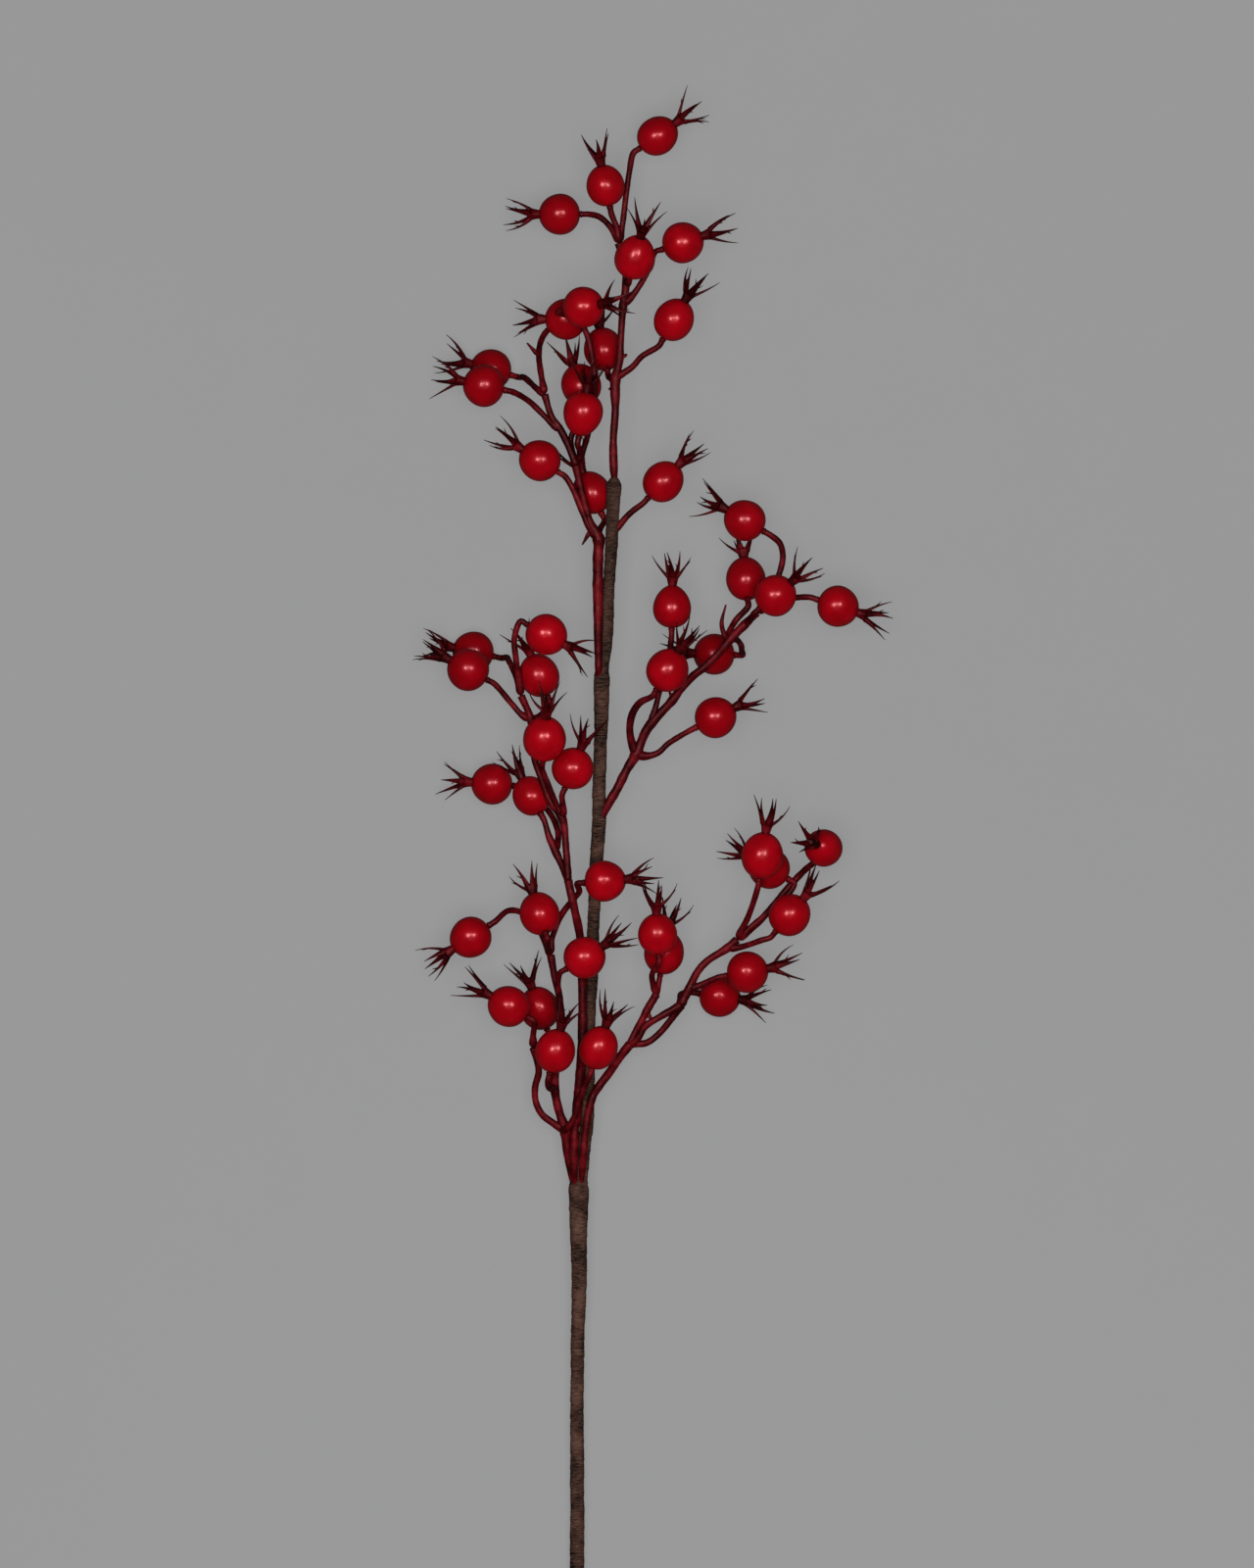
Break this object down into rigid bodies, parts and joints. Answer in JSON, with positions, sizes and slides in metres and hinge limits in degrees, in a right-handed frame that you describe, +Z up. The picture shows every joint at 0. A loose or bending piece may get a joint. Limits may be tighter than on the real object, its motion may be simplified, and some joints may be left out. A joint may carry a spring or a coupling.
{
  "type": "decorative rose hip sprig",
  "caption": "Cut decorative sprig lying down: tape-wrapped stem with moulded branchlets that carry glossy red rose hips, each ending in a spiky calyx.",
  "frame": {"origin": "middle of the sprig's own footprint, on the surface that it lies on", "axes": "+Y along the stem from the cut end towards the tip, +X to the right seen from above, +Z up"},
  "size_m": [0.1718, 0.61, 0.0572],
  "materials": {
    "hip_lacquer": "glossy lacquered bright red",
    "branchlet_plastic": "moulded dark maroon with a soft gloss",
    "stem_tape": "matt brown paper floral tape wound on the stem, with fine wrinkles"
  },
  "bodies": {
    "root": {"stem": "stem_tape", "branchlet_top": "branchlet_plastic", "branchlet_upper_left": "branchlet_plastic", "branchlet_right": "branchlet_plastic", "branchlet_mid_left": "branchlet_plastic", "branchlet_low_left": "branchlet_plastic", "branchlet_low_right": "branchlet_plastic", "hip_01": "hip_lacquer", "hip_02": "hip_lacquer", "hip_03": "hip_lacquer", "hip_04": "hip_lacquer", "hip_05": "hip_lacquer", "hip_06": "hip_lacquer", "hip_07": "hip_lacquer", "hip_08": "hip_lacquer", "hip_09": "hip_lacquer", "hip_10": "hip_lacquer", "hip_11": "hip_lacquer", "hip_12": "hip_lacquer", "hip_13": "hip_lacquer", "hip_14": "hip_lacquer", "hip_15": "hip_lacquer", "hip_16": "hip_lacquer", "hip_17": "hip_lacquer", "hip_18": "hip_lacquer", "hip_19": "hip_lacquer", "hip_20": "hip_lacquer", "hip_21": "hip_lacquer", "hip_22": "hip_lacquer", "hip_23": "hip_lacquer", "hip_24": "hip_lacquer", "hip_25": "hip_lacquer", "hip_26": "hip_lacquer", "hip_27": "hip_lacquer", "hip_28": "hip_lacquer", "hip_29": "hip_lacquer", "hip_30": "hip_lacquer", "hip_31": "hip_lacquer", "hip_32": "hip_lacquer", "hip_33": "hip_lacquer", "hip_34": "hip_lacquer", "hip_35": "hip_lacquer", "hip_36": "hip_lacquer", "hip_37": "hip_lacquer", "hip_38": "hip_lacquer", "hip_39": "hip_lacquer", "hip_40": "hip_lacquer", "hip_41": "hip_lacquer", "hip_42": "hip_lacquer", "hip_43": "hip_lacquer", "hip_44": "hip_lacquer", "hip_45": "hip_lacquer", "hip_46": "hip_lacquer", "hip_47": "hip_lacquer", "hip_48": "hip_lacquer"}
  },
  "joints": []
}
